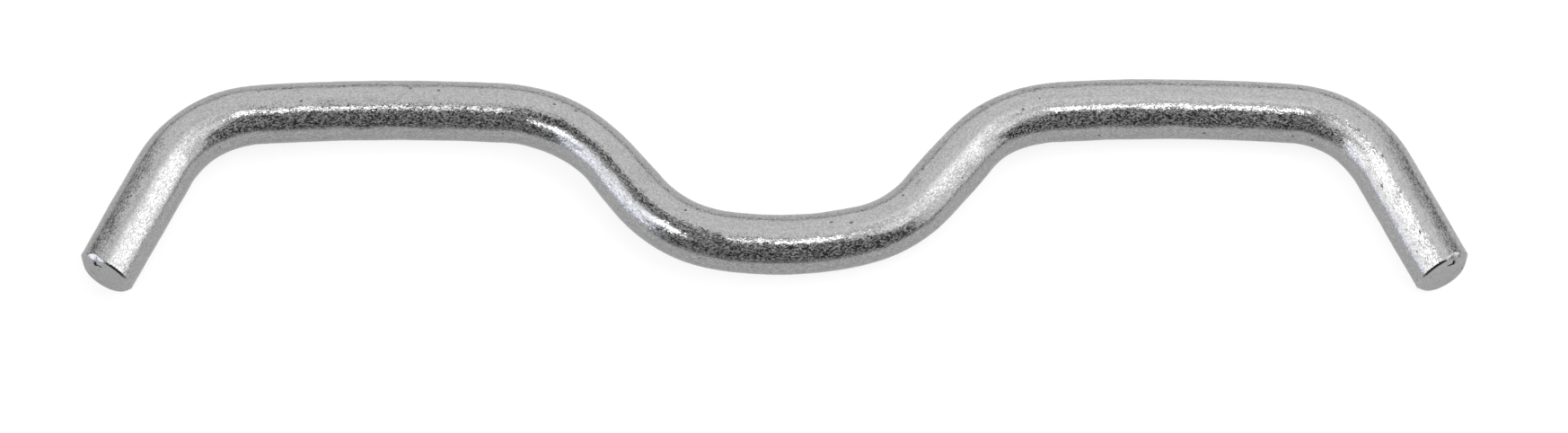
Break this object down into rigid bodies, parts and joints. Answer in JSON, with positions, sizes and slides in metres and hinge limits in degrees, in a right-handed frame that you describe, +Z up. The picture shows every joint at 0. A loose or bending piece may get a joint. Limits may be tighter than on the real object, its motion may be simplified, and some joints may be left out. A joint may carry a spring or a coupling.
{
  "type": "trampoline w-hook",
  "caption": "Round steel wire bent flat into a shallow W, with a rounded dip between bowed arms and splayed legs, to hold a loop in the middle and a strap or rail at the sides.",
  "frame": {"origin": "middle of the outline seen from above, on the surface that the hook lies on", "axes": "+X along the hook from leg to leg, +Y from the legs' cut ends towards the arms, +Z up from the surface it lies on"},
  "size_m": [0.1386, 0.0224, 0.006],
  "materials": {
    "zinc_plated_wire": "bright zinc plate over drawn wire, slightly grainy"
  },
  "bodies": {
    "root": {"w_hook": "zinc_plated_wire"}
  },
  "joints": []
}
